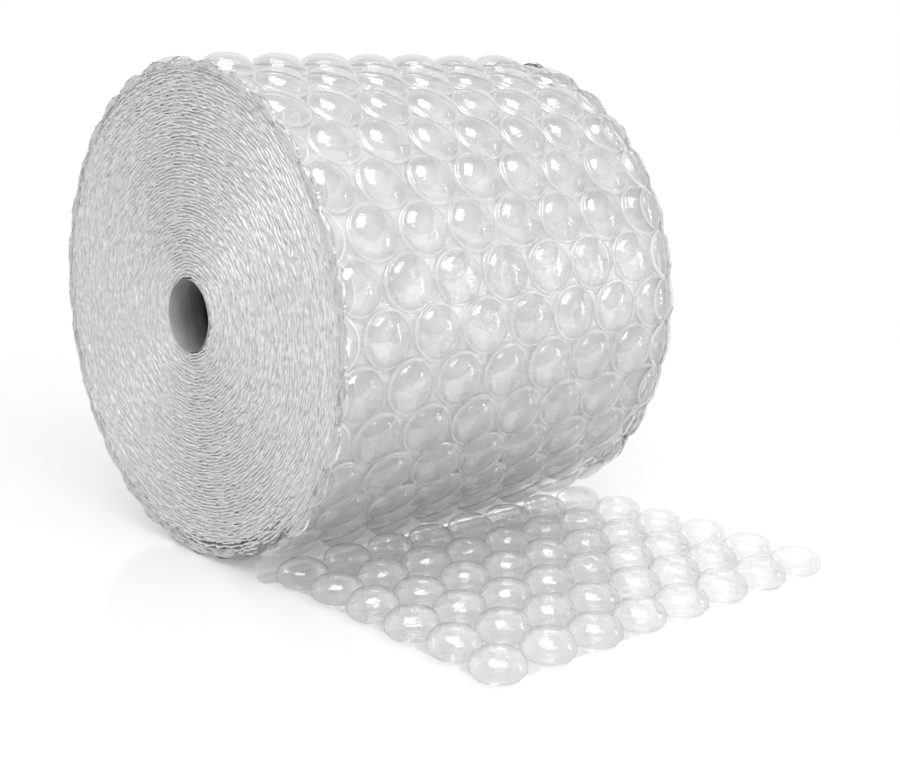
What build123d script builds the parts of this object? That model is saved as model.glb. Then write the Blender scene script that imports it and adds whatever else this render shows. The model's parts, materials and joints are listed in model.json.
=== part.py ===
"""A roll of large-bubble packing film, with its free end pulled out flat in front.

One web of film is wound on itself with no core tube.  The web is two thin films
welded together, with air caught between them in round bubbles, and the bubbles
face outwards on the roll.  At the foot of the roll the web leaves it, doubles
forwards in a tight fold and lies on the floor, bubbles up.  The wound turns, the
fold and the free end are one piece.

Millimetres.  X runs along the roll's axis, -Y is the side of the free end, +Z is up.
The origin is on the floor, under the middle of the whole footprint.
"""

from build123d import *
import math
import os

# The web
WOUND_WIDTH = 300.0         # drawn in a little by the tension it was wound with
FREE_EDGE_WIDTH = 320.0     # sprung back to its full width at the cut edge
FILM_THICKNESS = 0.2

# One bubble: a straight foot, a round shoulder and a flatter crown
BUBBLE_DIAMETER = 32.0
BUBBLE_HEIGHT = 12.7
FOOT_HEIGHT = 2.0
SHOULDER_RADIUS = 7.0
ROOT_DEPTH = 1.5            # how far a bubble's foot runs into the curved roll

# The roll
BORE_RADIUS = 25.0
LIFT_OFF_RADIUS = 169.0     # outside of the film where the web leaves the roll
TURN_THICKNESS = 9.0        # what one turn of the nested web adds to the radius
LIFT_OFF_ANGLE = 40.0       # from straight down, towards the free end
FLAT_SPOT_DEPTH = 5.0       # how far the lowest bubbles are pressed flat
OUTLINE_ARCS = 5            # arcs that make up the outline of one turn

# Rows of bubbles round the roll, every second one shifted by half a pitch
ROW_ANGLE = 360.0 / 32
FIRST_ROW_ANGLE = 6.2       # from where the web leaves, back up the roll
ROWS_ON_ROLL = 30
ROLL_PITCH = 41.0
BUBBLES_IN_ROLL_ROW = 7

# The fold and the free end
FOLD_RADIUS = 7.0
FLARE_REACH = 112.0         # from the roll's axis forwards to where the web widens
FREE_EDGE_REACH = 317.0     # and to its cut edge
FRONT_ROW_REACH = 298.0
FREE_ROW_SPACING = 39.2
FREE_ROWS = 6
FREE_COLUMNS = 8


def film_radius(turned):
    """Radius of the outer turn's film, at an angle back from where the web leaves."""
    return LIFT_OFF_RADIUS - TURN_THICKNESS * turned / 360.0


BOTTOM_RADIUS = film_radius(360.0 - LIFT_OFF_ANGLE)
AXIS_HEIGHT = BOTTOM_RADIUS + BUBBLE_HEIGHT - FLAT_SPOT_DEPTH


def from_axis(radius, angle):
    """The (y, z) point at a radius and an angle from straight down, turning forwards."""
    swing = math.radians(angle)
    return (-radius * math.sin(swing), AXIS_HEIGHT - radius * math.cos(swing))


def outline_point(turned):
    return from_axis(film_radius(turned), LIFT_OFF_ANGLE + turned)


def section():
    """The web's section across the roll: the wound turns, the fold and where it lands."""
    lean = math.radians(LIFT_OFF_ANGLE)
    back_radius = LIFT_OFF_RADIUS - FILM_THICKNESS
    rise = FOLD_RADIUS * (1 + math.cos(lean))
    fold_y = -(back_radius + rise - AXIS_HEIGHT * math.cos(lean)) / math.sin(lean)
    inner_radius = FOLD_RADIUS - FILM_THICKNESS

    def fold_point(radius, swing):
        return (fold_y + radius * math.sin(swing), FOLD_RADIUS - radius * math.cos(swing))

    outer = [fold_point(FOLD_RADIUS, s * (math.pi - lean)) for s in (0, 0.5, 1)]
    inner = [fold_point(inner_radius, s * (math.pi - lean)) for s in (0, 0.5, 1)]

    step = 360.0 / OUTLINE_ARCS
    turn = []
    for i in range(OUTLINE_ARCS):
        angles = (i * step, (i + 0.5) * step, (i + 1) * step)
        turn.append(ThreePointArc(*[outline_point(a) for a in angles]))

    tail = from_axis(back_radius, LIFT_OFF_ANGLE)
    edges = turn + [
        Line(outline_point(360.0), tail),
        Line(tail, outer[2]),
        ThreePointArc(*outer),
        Line(outer[0], (-FLARE_REACH, 0)),
        Line((-FLARE_REACH, 0), (-FLARE_REACH, FILM_THICKNESS)),
        Line((-FLARE_REACH, FILM_THICKNESS), inner[0]),
        ThreePointArc(*inner),
        Line(inner[2], outline_point(0)),
    ]
    return Plane.YZ * make_face(edges)


def bubble(root):
    """One bubble standing on the XY plane, its foot running a root's depth below it."""
    radius = BUBBLE_DIAMETER / 2
    shoulder_x = radius - SHOULDER_RADIUS
    reach = BUBBLE_HEIGHT - FOOT_HEIGHT
    spare = shoulder_x**2 + reach**2 - SHOULDER_RADIUS**2
    crown_radius = spare / (2 * (reach - SHOULDER_RADIUS))
    crown_z = BUBBLE_HEIGHT - crown_radius
    lean = math.atan2(shoulder_x, FOOT_HEIGHT - crown_z)
    meet = (crown_radius * math.sin(lean), crown_z + crown_radius * math.cos(lean))
    side = (radius, FOOT_HEIGHT)
    outline = [
        Line((0, -root), (radius, -root)),
        Line((radius, -root), side),
        TangentArc(side, meet, tangent=(0, 1)),
        TangentArc(meet, (0, BUBBLE_HEIGHT), tangent=(-math.cos(lean), math.sin(lean))),
        Line((0, BUBBLE_HEIGHT), (0, -root)),
    ]
    return revolve(Plane.XZ * make_face(outline), Axis.Z)


def facing_out(x, y, z, angle):
    """A place on the web whose outward side points at an angle from straight down."""
    return Pos(x, y, z) * Rot(180.0 - angle, 0, 0)


def row_centres(shifted):
    middle = ROLL_PITCH / 4 if shifted else -ROLL_PITCH / 4
    reach = (BUBBLES_IN_ROLL_ROW - 1) / 2
    return [middle + ROLL_PITCH * (i - reach) for i in range(BUBBLES_IN_ROLL_ROW)]


def roll_bubbles():
    """The bubbles of the outer turn, the lowest ones pressed flat by the floor."""
    rooted = bubble(ROOT_DEPTH)
    placed = []
    for row in range(ROWS_ON_ROLL):
        turned = FIRST_ROW_ANGLE + row * ROW_ANGLE
        angle = LIFT_OFF_ANGLE + turned
        y, z = from_axis(film_radius(turned), angle)
        top_z = z - BUBBLE_HEIGHT * math.cos(math.radians(angle))
        for x in row_centres(shifted=row % 2 == 0):
            one = facing_out(x, y, z, angle) * rooted
            if top_z < BUBBLE_DIAMETER / 2:
                one = split(one, bisect_by=Plane.XY, keep=Keep.TOP)
            placed.append(one)
    return placed


def hanging_bubbles():
    """The one row on the short straight stretch between the roll and the fold."""
    start_y, start_z = from_axis(LIFT_OFF_RADIUS, LIFT_OFF_ANGLE)
    lean = math.radians(LIFT_OFF_ANGLE)
    spacing = LIFT_OFF_RADIUS * math.radians(ROW_ANGLE)
    run = spacing - LIFT_OFF_RADIUS * math.radians(FIRST_ROW_ANGLE)
    y = start_y + run * math.cos(lean)
    z = start_z - run * math.sin(lean)
    seated = bubble(FILM_THICKNESS / 2)
    return [facing_out(x, y, z, LIFT_OFF_ANGLE) * seated for x in row_centres(shifted=False)]


def free_end():
    """The flat film on the floor, widening from the fold to the cut edge."""
    corners = [
        (-WOUND_WIDTH / 2, -FLARE_REACH),
        (WOUND_WIDTH / 2, -FLARE_REACH),
        (FREE_EDGE_WIDTH / 2, -FREE_EDGE_REACH),
        (-FREE_EDGE_WIDTH / 2, -FREE_EDGE_REACH),
    ]
    return extrude(make_face(Polyline(*corners, close=True)), FILM_THICKNESS)


def width_at(reach):
    """Width of the free end at a distance forwards of the roll's axis."""
    share = max(0.0, (reach - FLARE_REACH) / (FREE_EDGE_REACH - FLARE_REACH))
    return WOUND_WIDTH + share * (FREE_EDGE_WIDTH - WOUND_WIDTH)


def free_end_bubbles():
    """The square grid of bubbles on the free end."""
    seated = bubble(FILM_THICKNESS / 2)
    placed = []
    for row in range(FREE_ROWS):
        reach = FRONT_ROW_REACH - row * FREE_ROW_SPACING
        pitch = width_at(reach) / FREE_COLUMNS
        for column in range(FREE_COLUMNS):
            x = pitch * (column + 0.5 - FREE_COLUMNS / 2)
            placed.append(Pos(x, -reach, FILM_THICKNESS) * seated)
    return placed


def film_roll():
    """The whole web, with the bore that the winding spindle left."""
    web = extrude(section(), WOUND_WIDTH / 2, both=True)
    axis = Pos(0, 0, AXIS_HEIGHT) * Rot(0, 90, 0)
    web -= axis * Cylinder(BORE_RADIUS, WOUND_WIDTH * 1.1)
    web += [free_end()] + roll_bubbles() + hanging_bubbles() + free_end_bubbles()
    return web.solid()


film = film_roll()
spread = film.bounding_box()
middle_y = (spread.min.Y + spread.max.Y) / 2
film = Pos(0, -middle_y, 0) * film

os.makedirs("parts", exist_ok=True)
export_step(film, "parts/bubble_film_roll.step")
print("solid valid:", film.is_valid, " volume:", round(film.volume), "mm3")
print("roll axis at y =", round(-middle_y, 3), " z =", round(AXIS_HEIGHT, 3))
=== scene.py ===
import json
import math

import bpy
from mathutils import Matrix, Vector, noise


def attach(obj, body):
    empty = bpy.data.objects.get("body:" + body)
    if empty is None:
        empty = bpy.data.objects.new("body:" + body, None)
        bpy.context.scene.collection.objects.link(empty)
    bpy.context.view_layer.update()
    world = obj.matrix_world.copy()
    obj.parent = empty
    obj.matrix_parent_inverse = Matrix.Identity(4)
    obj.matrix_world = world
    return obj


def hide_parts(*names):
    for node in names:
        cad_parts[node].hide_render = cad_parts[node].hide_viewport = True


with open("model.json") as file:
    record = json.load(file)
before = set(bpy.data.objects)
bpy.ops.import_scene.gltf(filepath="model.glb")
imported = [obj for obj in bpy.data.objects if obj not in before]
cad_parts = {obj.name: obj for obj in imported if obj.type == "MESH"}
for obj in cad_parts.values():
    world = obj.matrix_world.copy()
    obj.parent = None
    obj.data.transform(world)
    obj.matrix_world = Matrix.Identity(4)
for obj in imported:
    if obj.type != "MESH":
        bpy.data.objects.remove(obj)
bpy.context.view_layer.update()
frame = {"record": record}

BORE = [m for m in frame["record"]["mounts"] if m["kind"] == "bore"][0]
AXIS_Y, AXIS_Z = BORE["pos_m"][1:]
BORE_RADIUS = BORE["dims"]["r_mm"] / 1000
HALF_WIDTH = BORE["dims"]["length_mm"] / 2000

# The roll, in metres and radians
LIFT_OFF_RADIUS = 0.169
TURN_THICKNESS = 0.009
LIFT_OFF_ANGLE = math.radians(40)
ROW_ANGLE = math.tau / 32
FIRST_ROW_ANGLE = math.radians(6.2) - ROW_ANGLE   # the row hanging over the fold
ROWS_ON_ROLL = 31
ROLL_PITCH = 0.041
BUBBLES_IN_ROLL_ROW = 7

# The fold and the free end
FOLD_RADIUS = 0.007
FLARE_REACH = 0.112
FREE_EDGE_REACH = 0.317
FREE_EDGE_WIDTH = 0.320
FRONT_ROW_REACH = 0.298
FREE_ROW_SPACING = 0.0392
FREE_ROWS = 6
FREE_COLUMNS = 8

# One bubble on the roll, from its weld up over the shoulder to the crown: radius and height
ROLL_BUBBLE = [(0.0197, 0.0001), (0.0191, 0.0012), (0.0184, 0.0014), (0.0179, 0.0011),
               (0.0173, 0.0034), (0.0150, 0.0066), (0.0104, 0.0091), (0.0052, 0.0103),
               (0.0, 0.0106)]
WELD_POINTS = 4             # of that outline, from the foot up, that are the welded ring
# One bubble on the floor, plump on both sides, from its underside round to the crown
FLOOR_BUBBLE = [(0.0, 0.0003), (0.0090, 0.0005), (0.0146, 0.0024), (0.0173, 0.0062),
                (0.0173, 0.0100), (0.0156, 0.0143), (0.0117, 0.0176), (0.0060, 0.0192),
                (0.0, 0.0195)]
WELD_MILK_AND_SHINE = 0.30            # how much milkier the doubled film is on that ring, partly a painted highlight that whitens the ring
WELD_HEIGHT = 0.0062        # of the free end's film, held up by the bubbles' undersides
BUBBLE_SIDES = 18
PRESSED_HEIGHT = 0.5        # share of it left to the bubbles cut through and to those below
UNDER_DEPTH = 0.006         # from the outer film down to the turn below
UNDER_SHIFT = 0.45          # how far that turn's rows are out of step, in rows

# The cut edges of the film on the roll's two ends
EDGE_SPACING = 0.0023
EDGE_THICKNESS = 0.0009
EDGE_DEPTH = 0.0032
EDGE_STEPS = 14000
BORE_PAINTED_SHADE_DEPTH = 0.032           # depth down the bore over which the painted shade takes the colour to dark
RIM_RISE = 0.0025           # how far the outermost cut edge stands past the outer film
RIM_SCALLOP = 0.0045        # and how much further at each row of bubbles
BODY_DROP = 0.0035          # how far the stacked turns lie under the outer film
EDGE_SWAY = 0.0048          # how far an edge wanders from its spiral
EDGE_LEAN = 0.0045          # and how far its tip leans from its foot
FLOOR_GAP = 0.0002          # the least height of an edge over the floor

# Crinkles in the film
QUILT_HEIGHT = 0.0016       # of the stacked turns, between the bubbles
BODY_CREASE = 0.0012
OUTER_CREASE = 0.0016
OUTER_SINK = 0.0003         # how far the creases are let into the outer film
FREE_CREASE = 0.0006
FREE_RISE = 0.0003          # the least height of the free end's film over its underside
BORE_CREASE = 0.0005

# The studio
LIGHTS_AIM = (0, -0.05, 0.15)
FLOOR_SIZE = 6.0
FLOOR_LIFT = 0.23           # takes the white floor to plain white where it is seen
SKY_LIGHT = 0.66            # on the roll
SKY_SEEN = 1.0              # plain white where it is seen
CAMERA_HEADING = 0.7284
CAMERA_DOWN = 0.2087
CAMERA_ROLL = 0.009
CAMERA_X = -0.6887
CAMERA_REACH = 0.8714       # forwards of the roll's axis
CAMERA_Z = 0.3369
CAMERA_LENS = 60.25


# ---- helpers -------------------------------------------------------------------------------

def plug(tree, socket, value):
    if isinstance(value, bpy.types.NodeSocket):
        tree.links.new(value, socket)
    else:
        socket.default_value = value


def node(tree, kind, inputs=None, **settings):
    made = tree.nodes.new(kind)
    for name, value in settings.items():
        setattr(made, name, value)
    for key, value in (inputs or {}).items():
        plug(tree, made.inputs[key], value)
    return made


def calc(tree, operation, *values):
    made = node(tree, "ShaderNodeMath", operation=operation)
    for socket, value in zip(made.inputs, values):
        plug(tree, socket, value)
    return made.outputs[0]


def plus(tree, first, second):
    return calc(tree, "ADD", first, second)


def less(tree, first, second):
    return calc(tree, "SUBTRACT", first, second)


def times(tree, first, second):
    return calc(tree, "MULTIPLY", first, second)


def over(tree, first, second):
    return calc(tree, "DIVIDE", first, second)


def between(tree, value, low, high):
    return calc(tree, "MINIMUM", calc(tree, "MAXIMUM", value, low), high)


def vector(tree, x, y, z):
    return node(tree, "ShaderNodeCombineXYZ", {"X": x, "Y": y, "Z": z}).outputs[0]


def add_object(name, mesh):
    piece = bpy.data.objects.new(name, mesh)
    bpy.context.scene.collection.objects.link(piece)
    return piece


def grid_piece(name, rows, columns, point, material, closed=False):
    """A smooth sheet of rows by columns, each corner placed by point(row, column)."""
    verts = [point(r, c) for r in range(rows) for c in range(columns)]
    faces = []
    for r in range(rows if closed else rows - 1):
        for c in range(columns - 1):
            here, after = r * columns, ((r + 1) % rows) * columns
            faces.append((here + c, here + c + 1, after + c + 1, after + c))
    mesh = bpy.data.meshes.new(name)
    mesh.from_pydata(verts, [], faces)
    mesh.shade_smooth()
    mesh.materials.append(material)
    return add_object(name, mesh)


def film_radius(turned):
    return LIFT_OFF_RADIUS - TURN_THICKNESS * turned / math.tau


def on_roll(radius, turned):
    """The (y, z) place at a radius, turned back from where the web leaves the roll."""
    swing = LIFT_OFF_ANGLE + turned
    return AXIS_Y - radius * math.sin(swing), AXIS_Z - radius * math.cos(swing)


def ripple(x, y, z, size, seed):
    return noise.noise(Vector((x / size + seed, y / size, z / size)))


# ---- materials -----------------------------------------------------------------------------

def new_material(name):
    material = bpy.data.materials.new(name)
    material.use_nodes = True
    material.node_tree.nodes.clear()
    return material, material.node_tree


def end_material(tree, shader):
    out = node(tree, "ShaderNodeOutputMaterial")
    tree.links.new(shader.outputs[0], out.inputs["Surface"])


def film_noise(tree, scale, stretch, detail=3.0):
    place = node(tree, "ShaderNodeTexCoord").outputs["Object"]
    turned = node(tree, "ShaderNodeMapping", {"Vector": place, "Scale": stretch})
    return node(tree, "ShaderNodeTexNoise", {
        "Vector": turned.outputs[0], "Scale": scale, "Detail": detail,
        "Roughness": 0.6}).outputs["Fac"]


def graded(tree, value, low, high, dark, light):
    ramp = node(tree, "ShaderNodeValToRGB", {"Fac": value})
    ramp.color_ramp.elements[0].position = low
    ramp.color_ramp.elements[0].color = (*dark, 1)
    ramp.color_ramp.elements[1].position = high
    ramp.color_ramp.elements[1].color = (*light, 1)
    return ramp.outputs["Color"]


def stacked_film():
    """Many clear turns seen through each other: light grey, streaked and satin."""
    material, tree = new_material("stacked film")
    streaks = film_noise(tree, 60.0, (0.6, 1.0, 1.0))
    colour = graded(tree, streaks, 0.35, 0.68, (0.66, 0.66, 0.67), (0.96, 0.96, 0.97))
    dents = film_noise(tree, 170.0, (0.5, 1.0, 1.0))
    bump = node(tree, "ShaderNodeBump", {"Height": dents, "Strength": 0.7, "Distance": 0.003})
    skin = node(tree, "ShaderNodeBsdfPrincipled", {
        "Base Color": colour, "Roughness": 0.28, "IOR": 1.5, "Normal": bump.outputs[0]})
    end_material(tree, skin)
    return material


def cut_edge_film():
    """The cut edges of the turns: pale, glossy and uneven."""
    material, tree = new_material("cut edge film")
    patches = film_noise(tree, 210.0, (1.0, 1.0, 1.0))
    colour = graded(tree, patches, 0.36, 0.66, (0.74, 0.74, 0.75), (0.95, 0.95, 0.96))
    skin = node(tree, "ShaderNodeBsdfPrincipled", {
        "Base Color": colour, "Roughness": 0.14, "IOR": 1.6})
    end_material(tree, skin)
    return material


def bore_film():
    """The innermost turn seen down the bore, with painted shade: its colour darkens with depth,
    as less and less light comes through it.
    """
    material, tree = new_material("bore film")
    place = node(tree, "ShaderNodeTexCoord").outputs["Object"]
    x = node(tree, "ShaderNodeSeparateXYZ", {0: place}).outputs[0]
    depth = less(tree, HALF_WIDTH, calc(tree, "ABSOLUTE", x))
    # Painted shade: light colour at the bore's mouth, near black deeper in, mottled at random
    # by rings
    rings = film_noise(tree, 140.0, (2.2, 0.5, 0.5))
    painted_light_near_mouth = less(tree, 1.0, over(tree, depth, BORE_PAINTED_SHADE_DEPTH))
    mixed = calc(tree, "MULTIPLY_ADD", less(tree, rings, 0.5), 0.6, painted_light_near_mouth)
    colour = graded(tree, mixed, 0.0, 1.0, (0.030, 0.030, 0.030), (0.50, 0.50, 0.50))
    skin = node(tree, "ShaderNodeBsdfPrincipled", {
        "Base Color": colour, "Roughness": 0.35, "IOR": 1.45})
    end_material(tree, skin)
    return material


def clear_film(name, haze, tint, wrinkle_size, wrinkle, rim, rim_power=4.0):
    """Thin clear film: see-through, faintly milky, greyer where seen edge on, glossy."""
    material, tree = new_material(name)
    creases = film_noise(tree, 1 / wrinkle_size, (0.45, 1.0, 1.0))
    bump = node(tree, "ShaderNodeBump", {
        "Height": creases, "Strength": wrinkle, "Distance": wrinkle_size * 0.25}).outputs[0]
    clear = node(tree, "ShaderNodeBsdfTransparent", {"Color": (0.996, 0.993, 0.994, 1)})
    milky = node(tree, "ShaderNodeBsdfPrincipled", {
        "Base Color": (*tint, 1), "Roughness": 0.3, "IOR": 1.5, "Normal": bump})
    gloss = node(tree, "ShaderNodeBsdfGlossy", {
        "Color": (1, 1, 1, 1), "Roughness": 0.06, "Normal": bump})
    edge_on = node(tree, "ShaderNodeLayerWeight", {"Blend": 0.5}).outputs["Facing"]
    rim_share = times(tree, calc(tree, "POWER", edge_on, rim_power), rim)
    # The welded ring is whiter: partly the doubled film's own milkiness, partly a painted
    # highlight on the ring
    weld = node(tree, "ShaderNodeAttribute", attribute_name="weld").outputs["Fac"]
    weld_milk_and_highlight = times(tree, weld, WELD_MILK_AND_SHINE)
    milk_share = plus(tree, plus(tree, rim_share, weld_milk_and_highlight), haze)
    body = node(tree, "ShaderNodeMixShader", {
        0: milk_share, 1: clear.outputs[0], 2: milky.outputs[0]})
    shine = node(tree, "ShaderNodeFresnel", {"IOR": 1.75, "Normal": bump}).outputs[0]
    shine = calc(tree, "MINIMUM", shine, 0.35)
    both = node(tree, "ShaderNodeMixShader", {
        0: shine, 1: body.outputs[0], 2: gloss.outputs[0]})
    end_material(tree, both)
    return material


# ---- Geometry Nodes trees ------------------------------------------------------------------

def shape_tree(name, sizes):
    tree = bpy.data.node_groups.new(name, "GeometryNodeTree")
    tree.interface.new_socket("Geometry", in_out="INPUT", socket_type="NodeSocketGeometry")
    for size in sizes:
        tree.interface.new_socket(size, in_out="INPUT", socket_type="NodeSocketFloat")
    tree.interface.new_socket("Material", in_out="INPUT", socket_type="NodeSocketMaterial")
    tree.interface.new_socket("Geometry", in_out="OUTPUT", socket_type="NodeSocketGeometry")
    return tree, tree.nodes.new("NodeGroupInput").outputs


def end_tree(tree, given, geometry):
    solid = node(tree, "GeometryNodeRealizeInstances", {"Geometry": geometry})
    smooth = node(tree, "GeometryNodeSetShadeSmooth", {"Geometry": solid.outputs[0]})
    dressed = node(tree, "GeometryNodeSetMaterial", {
        "Geometry": smooth.outputs[0], "Material": given["Material"]})
    out = tree.nodes.new("NodeGroupOutput")
    tree.links.new(dressed.outputs[0], out.inputs[0])


def row_and_column(tree, columns):
    index = node(tree, "GeometryNodeInputIndex").outputs[0]
    row = calc(tree, "FLOOR", over(tree, plus(tree, index, 0.5), columns))
    return row, less(tree, index, times(tree, row, columns))


def corner_place(tree):
    place = node(tree, "GeometryNodeInputPosition").outputs[0]
    return node(tree, "ShaderNodeSeparateXYZ", {0: place}).outputs


def uneven_bubbles(tree, given, points, rotation):
    """The given bubble on every point, each one turned and sized a little differently."""
    placed = node(tree, "GeometryNodeInstanceOnPoints", {
        "Points": points, "Instance": given["Geometry"], "Rotation": rotation})

    def spread(low, high, seed):
        return node(tree, "FunctionNodeRandomValue", {
            0: low, 1: high, "Seed": seed}, data_type="FLOAT_VECTOR").outputs[0]

    turned = node(tree, "GeometryNodeRotateInstances", {
        "Instances": placed.outputs[0],
        "Rotation": spread((-0.035, -0.035, -3.1), (0.035, 0.035, 3.1), 4)})
    sized = node(tree, "GeometryNodeScaleInstances", {
        "Instances": turned.outputs[0],
        "Scale": spread((0.965, 0.965, 0.90), (1.02, 1.02, 1.03), 9)})
    return sized.outputs[0]


def rows_round_the_roll():
    tree, given = shape_tree("rows round the roll", [
        "Rows", "Columns", "Pitch", "Shift", "Row Angle", "First Angle", "Lift Off Angle",
        "Film Radius", "Turn Thickness", "Axis Y", "Axis Z", "Half Width", "Column Step"])
    row, column = row_and_column(tree, given["Columns"])
    odd_row = calc(tree, "MODULO", row, 2.0)
    parity = less(tree, 1.0, times(tree, odd_row, 2.0))
    middle = times(tree, less(tree, given["Columns"], 1.0), 0.5)
    steps = times(tree, less(tree, column, middle), given["Column Step"])
    x = calc(tree, "MULTIPLY_ADD", steps, given["Pitch"],
             times(tree, parity, given["Shift"]))
    turned = calc(tree, "MULTIPLY_ADD", row, given["Row Angle"], given["First Angle"])
    thinner = times(tree, given["Turn Thickness"], over(tree, turned, math.tau))
    radius = less(tree, given["Film Radius"], thinner)
    swing = plus(tree, turned, given["Lift Off Angle"])
    y = less(tree, given["Axis Y"], times(tree, radius, calc(tree, "SINE", swing)))
    z = less(tree, given["Axis Z"], times(tree, radius, calc(tree, "COSINE", swing)))
    points = node(tree, "GeometryNodePoints", {
        "Count": times(tree, given["Rows"], given["Columns"]),
        "Position": vector(tree, x, y, z)})
    outward = less(tree, math.pi, swing)
    stored = node(tree, "GeometryNodeStoreNamedAttribute", {
        "Geometry": points.outputs[0], "Name": "outward", "Value": outward}, domain="POINT")
    tilt = node(tree, "GeometryNodeInputNamedAttribute", {"Name": "outward"}).outputs[0]
    bubbles = uneven_bubbles(tree, given, stored.outputs[0], vector(tree, tilt, 0.0, 0.0))
    solid = node(tree, "GeometryNodeRealizeInstances", {"Geometry": bubbles})
    corner_x, corner_y, corner_z = corner_place(tree)
    left = times(tree, given["Half Width"], -1.0)
    trimmed_x = between(tree, corner_x, left, given["Half Width"])
    lifted_z = calc(tree, "MAXIMUM", corner_z, 0.0)
    trimmed = node(tree, "GeometryNodeSetPosition", {
        "Geometry": solid.outputs[0],
        "Position": vector(tree, trimmed_x, corner_y, lifted_z)})
    end_tree(tree, given, trimmed.outputs[0])
    return tree


def rows_on_the_floor():
    tree, given = shape_tree("rows on the floor", [
        "Rows", "Columns", "Axis Y", "Front Reach", "Row Spacing", "Flare Reach",
        "Edge Reach", "Narrow", "Wide", "Lift"])
    row, column = row_and_column(tree, given["Columns"])
    reach = less(tree, given["Front Reach"], times(tree, row, given["Row Spacing"]))
    share = over(tree, less(tree, reach, given["Flare Reach"]),
                 less(tree, given["Edge Reach"], given["Flare Reach"]))
    share = calc(tree, "MAXIMUM", share, 0.0)
    flare = less(tree, given["Wide"], given["Narrow"])
    width = calc(tree, "MULTIPLY_ADD", share, flare, given["Narrow"])
    pitch = over(tree, width, given["Columns"])
    middle = times(tree, given["Columns"], 0.5)
    steps = less(tree, plus(tree, column, 0.5), middle)
    points = node(tree, "GeometryNodePoints", {
        "Count": times(tree, given["Rows"], given["Columns"]),
        "Position": vector(tree, times(tree, steps, pitch),
                           less(tree, given["Axis Y"], reach), given["Lift"])})
    end_tree(tree, given, uneven_bubbles(tree, given, points.outputs[0], (0.0, 0.0, 0.0)))
    return tree


def film_edge_spiral():
    """Two spirals of cut film edges, one on each end of the roll, wavy and uneven in height."""
    tree, given = shape_tree("film edge spiral", [
        "Steps", "Spacing", "Thickness", "Depth", "Inner Radius", "Outer Radius",
        "Face X", "Axis Y", "Axis Z", "Lift Off Angle", "Turn Thickness", "First Angle",
        "Row Angle", "Scallop", "Sway", "Lean", "Floor Gap"])

    def spiral(side):
        # A strip of four lines: foot, tip, tip, foot.  Equal steps cover equal areas.
        sheet = node(tree, "GeometryNodeMeshGrid", {
            "Size X": 3.0, "Size Y": 1.0, "Vertices X": 4, "Vertices Y": given["Steps"]})
        strip_x, strip_y, _ = corner_place(tree)
        across = calc(tree, "ABSOLUTE", strip_x)
        outer_side = calc(tree, "SIGN", strip_x)
        at_tip = calc(tree, "LESS_THAN", across, 1.0)
        along = plus(tree, strip_y, 0.5)
        inner_square = calc(tree, "POWER", given["Inner Radius"], 2.0)
        widest = plus(tree, given["Outer Radius"], given["Scallop"])
        outer_square = calc(tree, "POWER", widest, 2.0)
        gain = less(tree, outer_square, inner_square)
        radius = calc(tree, "SQRT", calc(tree, "MULTIPLY_ADD", along, gain, inner_square))
        wound = less(tree, radius, given["Inner Radius"])
        turns = over(tree, wound, given["Spacing"])
        swing = times(tree, turns, math.tau * side)
        sine = calc(tree, "SINE", swing)
        cosine = calc(tree, "COSINE", swing)
        end_mark = 0.1 * side
        spot = vector(tree, times(tree, radius, sine), times(tree, radius, cosine), end_mark)

        def wave(scale, detail, change):
            made = node(tree, "ShaderNodeTexNoise", {
                "Vector": spot, "W": times(tree, turns, change), "Scale": scale,
                "Detail": detail, "Roughness": 0.6}, noise_dimensions="4D")
            return less(tree, made.outputs["Fac"], 0.5)

        sway = times(tree, wave(75.0, 1.0, 0.25), given["Sway"])
        lean = times(tree, times(tree, wave(160.0, 1.0, 0.9), at_tip), given["Lean"])
        wall = times(tree, times(tree, given["Thickness"], 0.5), outer_side)
        reach = plus(tree, plus(tree, radius, wall), plus(tree, sway, lean))

        # The outermost edge follows the outer film's own spiral and its rows of bubbles
        from_lift = less(tree, plus(tree, swing, math.pi), given["Lift Off Angle"])
        turned = calc(tree, "FLOORED_MODULO", from_lift, math.tau)
        thinner = times(tree, over(tree, turned, math.tau), given["Turn Thickness"])
        film = less(tree, given["Outer Radius"], thinner)
        rows = over(tree, less(tree, turned, given["First Angle"]), given["Row Angle"])
        bulge = calc(tree, "ABSOLUTE", calc(tree, "COSINE", times(tree, rows, math.pi)))
        limit = calc(tree, "MULTIPLY_ADD", bulge, given["Scallop"], film)
        reach = between(tree, reach, given["Inner Radius"], limit)

        height = calc(tree, "MULTIPLY_ADD", wave(120.0, 2.0, 0.8), 2.2, 0.62)
        height = between(tree, height, 0.08, 1.15)
        stand = times(tree, times(tree, height, given["Depth"]), at_tip)
        x = times(tree, plus(tree, given["Face X"], stand), float(side))
        y = calc(tree, "MULTIPLY_ADD", reach, sine, given["Axis Y"])
        z = calc(tree, "MULTIPLY_ADD", reach, cosine, given["Axis Z"])
        above_floor = calc(tree, "MAXIMUM", z, given["Floor Gap"])
        bent = node(tree, "GeometryNodeSetPosition", {
            "Geometry": sheet.outputs["Mesh"], "Position": vector(tree, x, y, above_floor)})
        return bent.outputs[0]

    both = node(tree, "GeometryNodeJoinGeometry")
    for side in (-1, 1):
        tree.links.new(spiral(side), both.inputs[0])
    end_tree(tree, given, both.outputs[0])
    return tree


def grown(name, tree, start, sizes, material):
    """A plain mesh piece, made by a tree from a starting mesh and its named sizes."""
    piece = add_object(name, start)
    modifier = piece.modifiers.new(name, "NODES")
    modifier.node_group = tree
    for item in tree.interface.items_tree:
        if item.in_out == "INPUT" and item.name in sizes:
            modifier[item.identifier] = float(sizes[item.name])
        if item.in_out == "INPUT" and item.name == "Material":
            modifier[item.identifier] = material
    depsgraph = bpy.context.evaluated_depsgraph_get()
    mesh = bpy.data.meshes.new_from_object(piece.evaluated_get(depsgraph), depsgraph=depsgraph)
    piece.modifiers.clear()
    piece.data = mesh
    return piece


# ---- pieces --------------------------------------------------------------------------------

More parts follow.
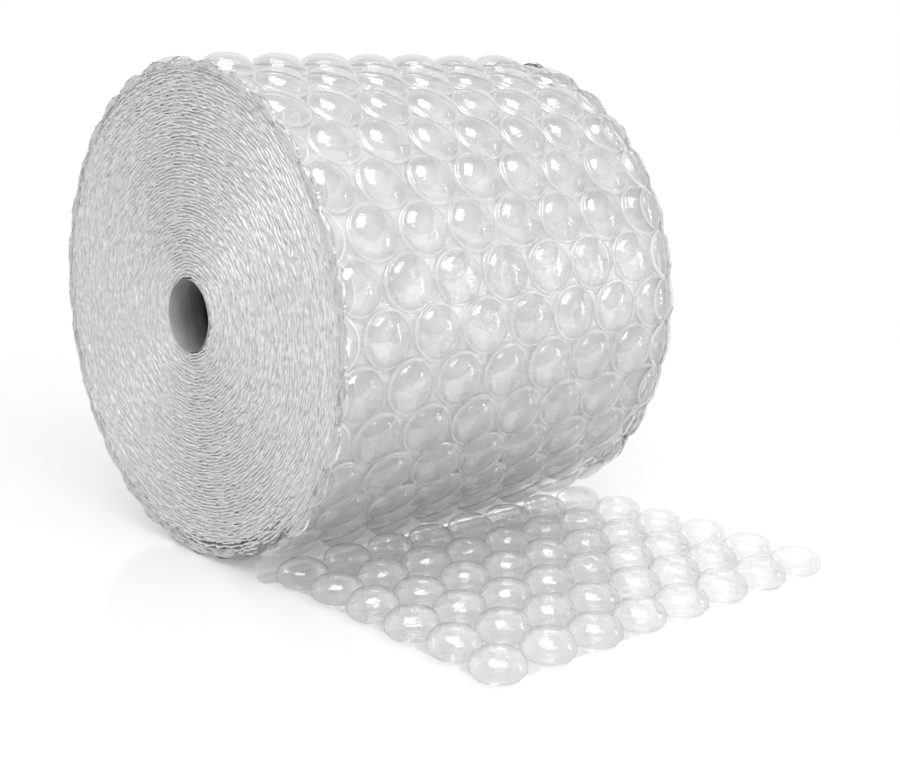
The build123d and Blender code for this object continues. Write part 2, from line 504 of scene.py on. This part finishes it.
def bubble_mesh(outline, flatten=1.0, welded=0):
    """One bubble turned from its outline, closed with a fan where that meets the middle."""
    verts, rings = [], []
    for radius, height in outline:
        sides = BUBBLE_SIDES if radius > 0 else 1
        rings.append([len(verts) + side for side in range(sides)])
        for side in range(sides):
            swing = math.tau * side / BUBBLE_SIDES
            verts.append((radius * math.cos(swing), radius * math.sin(swing), height * flatten))
    faces = []
    for low, high in zip(rings, rings[1:]):
        for side in range(BUBBLE_SIDES):
            after = (side + 1) % BUBBLE_SIDES
            corners = [low[side % len(low)], low[after % len(low)],
                       high[after % len(high)], high[side % len(high)]]
            faces.append(tuple(dict.fromkeys(corners)))
    mesh = bpy.data.meshes.new("one bubble")
    mesh.from_pydata(verts, [], faces)
    weld = mesh.attributes.new("weld", "FLOAT", "POINT")
    for ring in rings[:welded]:
        for vert in ring:
            weld.data[vert].value = 1.0
    return mesh


def wound_turns(material):
    """The stacked turns: a closed ring with a bore, its outside softly quilted."""
    steps = 400
    across = 76
    radial = 12
    inside = 8
    inside_gap = 0.0015
    face_x = HALF_WIDTH - EDGE_DEPTH

    # Each place is an x and a share of the way from the bore to the outside
    profile = [(-face_x + 2 * face_x * i / across, 1.0) for i in range(across + 1)]
    profile += [(face_x, 1 - i / radial) for i in range(1, radial + 1)]
    profile += [(-face_x + 2 * face_x * (1 - i / inside), 0.0) for i in range(1, inside + 1)]
    profile += [(-face_x, i / radial) for i in range(1, radial + 1)]

    def point(step, place):
        x, share = profile[place]
        turned = math.tau * step / steps
        radius = film_radius(turned) - BODY_DROP
        if share == 1.0:
            quilt = math.cos(math.pi * (x / ROLL_PITCH + turned / ROW_ANGLE))
            quilt *= math.cos(math.pi * (x / ROLL_PITCH - turned / ROW_ANGLE))
            y, z = on_roll(radius, turned)
            radius += QUILT_HEIGHT * quilt + BODY_CREASE * ripple(x, y, z, 0.011, 3)
        radius = BORE_RADIUS + share * (radius - BORE_RADIUS)
        if share == 0.0:
            radius += inside_gap
        y, z = on_roll(radius, turned)
        return x, y, z

    return grid_piece("wound_turns", steps, len(profile), point, material, closed=True)


def bore_wall(material):
    """The innermost turn's inside, faintly uneven."""
    steps = 72
    along = 60
    sample_radius = 0.02

    def point(step, place):
        x = HALF_WIDTH * (2 * place / (along - 1) - 1)
        swing = math.tau * step / steps
        sine = math.sin(swing)
        cosine = math.cos(swing)
        uneven = ripple(x, sine * sample_radius, cosine * sample_radius, 0.01, 7)
        radius = BORE_RADIUS + BORE_CREASE * uneven
        return x, AXIS_Y + radius * sine, AXIS_Z + radius * cosine

    return grid_piece("bore_wall", steps, along, point, material, closed=True)


def outer_turn(material):
    """The outermost film between its bubbles, crinkled by the winding."""
    steps = 560
    across = 150
    covered = math.tau - math.radians(3)

    def point(step, place):
        x = HALF_WIDTH * (2 * place / (across - 1) - 1)
        turned = covered * step / (steps - 1)
        radius = film_radius(turned)
        y, z = on_roll(radius, turned)
        crease = abs(ripple(x * 0.7, y, z, 0.0075, 1)) + 0.6 * ripple(x, y, z, 0.019, 5)
        y, z = on_roll(radius + OUTER_CREASE * crease - OUTER_SINK, turned)
        return x, y, max(z, 0.0)

    return grid_piece("outer_turn", steps, across, point, material)


def free_end_route():
    """The web's line from the roll down through the fold and out along the floor."""
    hanging_steps = 12
    fold_steps = 16
    flat_steps = 110
    lifting_steps = 12
    rise = FOLD_RADIUS * (1 + math.cos(LIFT_OFF_ANGLE))
    drop = LIFT_OFF_RADIUS + rise - AXIS_Z * math.cos(LIFT_OFF_ANGLE)
    fold_y = AXIS_Y - drop / math.sin(LIFT_OFF_ANGLE)
    bend = math.pi - LIFT_OFF_ANGLE

    def on_fold(swing):
        return (fold_y + FOLD_RADIUS * math.sin(swing),
                FOLD_RADIUS - FOLD_RADIUS * math.cos(swing))

    start_y, start_z = on_roll(LIFT_OFF_RADIUS, 0)
    leaving_y, leaving_z = on_fold(bend)
    route = []
    for i in range(hanging_steps):
        share = i / hanging_steps
        route.append((start_y + share * (leaving_y - start_y),
                      start_z + share * (leaving_z - start_z)))
    for i in range(fold_steps + 1):
        route.append(on_fold(bend * (1 - i / fold_steps)))
    length = fold_y - (AXIS_Y - FREE_EDGE_REACH)
    for i in range(1, flat_steps + 1):
        risen = min(1.0, i / lifting_steps)
        lift = WELD_HEIGHT * risen * risen * (3 - 2 * risen)
        route.append((fold_y - length * i / flat_steps, lift))
    return route


def half_width_at(y):
    share = (AXIS_Y - y - FLARE_REACH) / (FREE_EDGE_REACH - FLARE_REACH)
    return HALF_WIDTH + max(0.0, share) * (FREE_EDGE_WIDTH / 2 - HALF_WIDTH)


def free_end(material):
    """The film of the fold and of the flat end on the floor."""
    route = free_end_route()
    across = 120

    def point(step, place):
        y, z = route[step]
        x = half_width_at(y) * (2 * place / (across - 1) - 1)
        crease = FREE_CREASE * abs(ripple(x, y, z, 0.012, 11))
        return x, y, z + crease + FREE_RISE

    return grid_piece("free_end", len(route), across, point, material)


def floor(material):
    corners = [(-FLOOR_SIZE, -FLOOR_SIZE, 0), (FLOOR_SIZE, -FLOOR_SIZE, 0),
               (FLOOR_SIZE, FLOOR_SIZE, 0), (-FLOOR_SIZE, FLOOR_SIZE, 0)]
    mesh = bpy.data.meshes.new("floor")
    mesh.from_pydata(corners, [], [(0, 1, 2, 3)])
    mesh.materials.append(material)
    return add_object("floor", mesh)


# ---- studio --------------------------------------------------------------------------------

def seen_directly(tree):
    """1 where the camera, a reflection or a see-through film shows the thing, 0 elsewhere."""
    path = node(tree, "ShaderNodeLightPath").outputs
    seen = calc(tree, "MAXIMUM", path["Is Camera Ray"], path["Is Glossy Ray"])
    return calc(tree, "MAXIMUM", seen, path["Is Transmission Ray"])


def floor_finish():
    material, tree = new_material("white floor")
    skin = node(tree, "ShaderNodeBsdfPrincipled", {
        "Base Color": (0.86, 0.86, 0.86, 1), "Roughness": 0.12, "IOR": 1.4})
    lift = node(tree, "ShaderNodeEmission", {
        "Color": (1, 1, 1, 1), "Strength": times(tree, seen_directly(tree), FLOOR_LIFT)})
    both = node(tree, "ShaderNodeAddShader", {0: skin.outputs[0], 1: lift.outputs[0]})
    end_material(tree, both)
    return material


def surroundings():
    world = bpy.data.worlds.new("studio")
    bpy.context.scene.world = world
    world.use_nodes = True
    tree = world.node_tree
    tree.nodes.clear()
    extra = SKY_SEEN - SKY_LIGHT
    strength = calc(tree, "MULTIPLY_ADD", seen_directly(tree), extra, SKY_LIGHT)
    light = node(tree, "ShaderNodeBackground", {"Color": (1, 1, 1, 1), "Strength": strength})
    out = node(tree, "ShaderNodeOutputWorld")
    tree.links.new(light.outputs[0], out.inputs["Surface"])


def softbox(name, toward, distance, width, height, watts):
    """A soft rectangular lamp, out along a direction from the roll and aimed at it."""
    lamp = bpy.data.lights.new(name, "AREA")
    lamp.shape = "RECTANGLE"
    lamp.size = width
    lamp.size_y = height
    lamp.energy = watts
    held = add_object(name, lamp)
    aim = Vector(LIGHTS_AIM)
    held.location = aim + Vector(toward).normalized() * distance
    held.rotation_euler = (aim - held.location).to_track_quat("-Z", "Y").to_euler()
    held.visible_camera = False
    held.visible_glossy = False


def panel(name, toward, distance, width, height, strength):
    """A bright board that only shows as a reflection in the glossy film."""
    material, tree = new_material(name)
    glow = node(tree, "ShaderNodeEmission", {"Color": (1, 1, 1, 1), "Strength": strength})
    end_material(tree, glow)
    mesh = bpy.data.meshes.new(name)
    half_x = width / 2
    half_y = height / 2
    corners = [(-half_x, -half_y, 0), (half_x, -half_y, 0),
               (half_x, half_y, 0), (-half_x, half_y, 0)]
    mesh.from_pydata(corners, [], [(0, 1, 2, 3)])
    aim = Vector(LIGHTS_AIM)
    place = aim + Vector(toward).normalized() * distance
    turn = (aim - place).to_track_quat("-Z", "Y").to_matrix().to_4x4()
    mesh.transform(Matrix.Translation(place) @ turn)
    mesh.materials.append(material)
    board = add_object(name, mesh)
    board.visible_camera = False
    board.visible_diffuse = False
    board.visible_shadow = False
    board.visible_transmission = False


def camera():
    """Just under the height of the roll's top, off its front left corner, looking down."""
    lens = bpy.data.cameras.new("camera")
    lens.sensor_width = 36.0
    lens.lens = CAMERA_LENS
    held = add_object("camera", lens)
    level = math.cos(CAMERA_DOWN)
    look = Vector((math.sin(CAMERA_HEADING) * level, math.cos(CAMERA_HEADING) * level,
                   -math.sin(CAMERA_DOWN)))
    right = Vector((math.cos(CAMERA_HEADING), -math.sin(CAMERA_HEADING), 0))
    up = right.cross(look)
    turn = Matrix((right, up, -look)).transposed().to_4x4()
    place = Matrix.Translation((CAMERA_X, AXIS_Y - CAMERA_REACH, CAMERA_Z))
    held.matrix_world = place @ turn @ Matrix.Rotation(CAMERA_ROLL, 4, "Z")
    bpy.context.scene.camera = held


roll_film = clear_film("outer film", 0.22, (0.90, 0.90, 0.91), 0.0035, 0.9, 0.30)
bubble_film = clear_film("bubble film", 0.04, (0.80, 0.80, 0.81), 0.008, 0.5, 0.75)
floor_bubble_film = clear_film("free end bubble film", 0.014, (0.50, 0.46, 0.48), 0.008, 0.6,
                               0.75, 5.5)
under_film = clear_film("film of the turn below", 0.10, (0.86, 0.86, 0.87), 0.005, 0.8, 0.8)
floor_film = clear_film("free end film", 0.03, (0.84, 0.82, 0.83), 0.006, 0.35, 0.3)

roll_rows = rows_round_the_roll()
roll_sizes = {
    "Rows": ROWS_ON_ROLL, "Columns": BUBBLES_IN_ROLL_ROW, "Pitch": ROLL_PITCH,
    "Shift": -ROLL_PITCH / 4, "Row Angle": ROW_ANGLE, "First Angle": FIRST_ROW_ANGLE,
    "Lift Off Angle": LIFT_OFF_ANGLE, "Film Radius": LIFT_OFF_RADIUS,
    "Turn Thickness": TURN_THICKNESS, "Axis Y": AXIS_Y, "Axis Z": AXIS_Z,
    "Half Width": HALF_WIDTH, "Column Step": 1.0}
# Two columns, one at each end, set half a pitch wider apart than a full row is wide
cut_sizes = dict(roll_sizes)
cut_sizes["Columns"] = 2
cut_sizes["Pitch"] = ROLL_PITCH * (BUBBLES_IN_ROLL_ROW + 0.5)
cut_sizes["Shift"] = 0.0
under_sizes = dict(roll_sizes)
under_sizes["First Angle"] = FIRST_ROW_ANGLE + ROW_ANGLE * UNDER_SHIFT
under_sizes["Film Radius"] = LIFT_OFF_RADIUS - UNDER_DEPTH
under_sizes["Rows"] = ROWS_ON_ROLL - 1

edge_sizes = {
    "Steps": EDGE_STEPS, "Spacing": EDGE_SPACING, "Thickness": EDGE_THICKNESS,
    "Depth": EDGE_DEPTH, "Inner Radius": BORE_RADIUS,
    "Outer Radius": LIFT_OFF_RADIUS + RIM_RISE, "Face X": HALF_WIDTH - EDGE_DEPTH,
    "Axis Y": AXIS_Y, "Axis Z": AXIS_Z, "Lift Off Angle": LIFT_OFF_ANGLE,
    "Turn Thickness": TURN_THICKNESS, "First Angle": FIRST_ROW_ANGLE, "Row Angle": ROW_ANGLE,
    "Scallop": RIM_SCALLOP, "Sway": EDGE_SWAY, "Lean": EDGE_LEAN, "Floor Gap": FLOOR_GAP}

floor_sizes = {
    "Rows": FREE_ROWS, "Columns": FREE_COLUMNS, "Axis Y": AXIS_Y,
    "Front Reach": FRONT_ROW_REACH, "Row Spacing": FREE_ROW_SPACING,
    "Flare Reach": FLARE_REACH, "Edge Reach": FREE_EDGE_REACH,
    "Narrow": 2 * HALF_WIDTH, "Wide": FREE_EDGE_WIDTH, "Lift": 0.0}

no_start = bpy.data.meshes.new("edges")
whole_bubble = bubble_mesh(ROLL_BUBBLE, 1.0, WELD_POINTS)
cut_bubble = bubble_mesh(ROLL_BUBBLE, PRESSED_HEIGHT, WELD_POINTS)
under_bubble = bubble_mesh(ROLL_BUBBLE, PRESSED_HEIGHT)
floor_bubble = bubble_mesh(FLOOR_BUBBLE)

pieces = [
    wound_turns(stacked_film()),
    outer_turn(roll_film),
    grown("turn_edges", film_edge_spiral(), no_start, edge_sizes, cut_edge_film()),
    bore_wall(bore_film()),
    grown("roll_bubbles", roll_rows, whole_bubble, roll_sizes, bubble_film),
    grown("cut_bubbles", roll_rows, cut_bubble, cut_sizes, roll_film),
    grown("under_bubbles", roll_rows, under_bubble, under_sizes, under_film),
    free_end(floor_film),
    grown("free_end_bubbles", rows_on_the_floor(), floor_bubble, floor_sizes,
          floor_bubble_film),
]
for piece in pieces:
    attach(piece, "root")
    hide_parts("bubble_film_roll")

floor(floor_finish())
surroundings()
softbox("key softbox", (-0.38, -0.66, 0.62), 1.5, 1.3, 0.8, 10.5)
softbox("front fill", (0.30, -0.94, 0.20), 1.5, 1.6, 0.6, 5.0)
panel("window board", (-0.35, -0.25, 0.86), 1.2, 0.8, 0.9, 7.0)
panel("low side board", (0.75, -0.75, 0.04), 1.6, 0.14, 1.0, 6.0)
camera()
bpy.context.scene.view_settings.view_transform = "Standard"
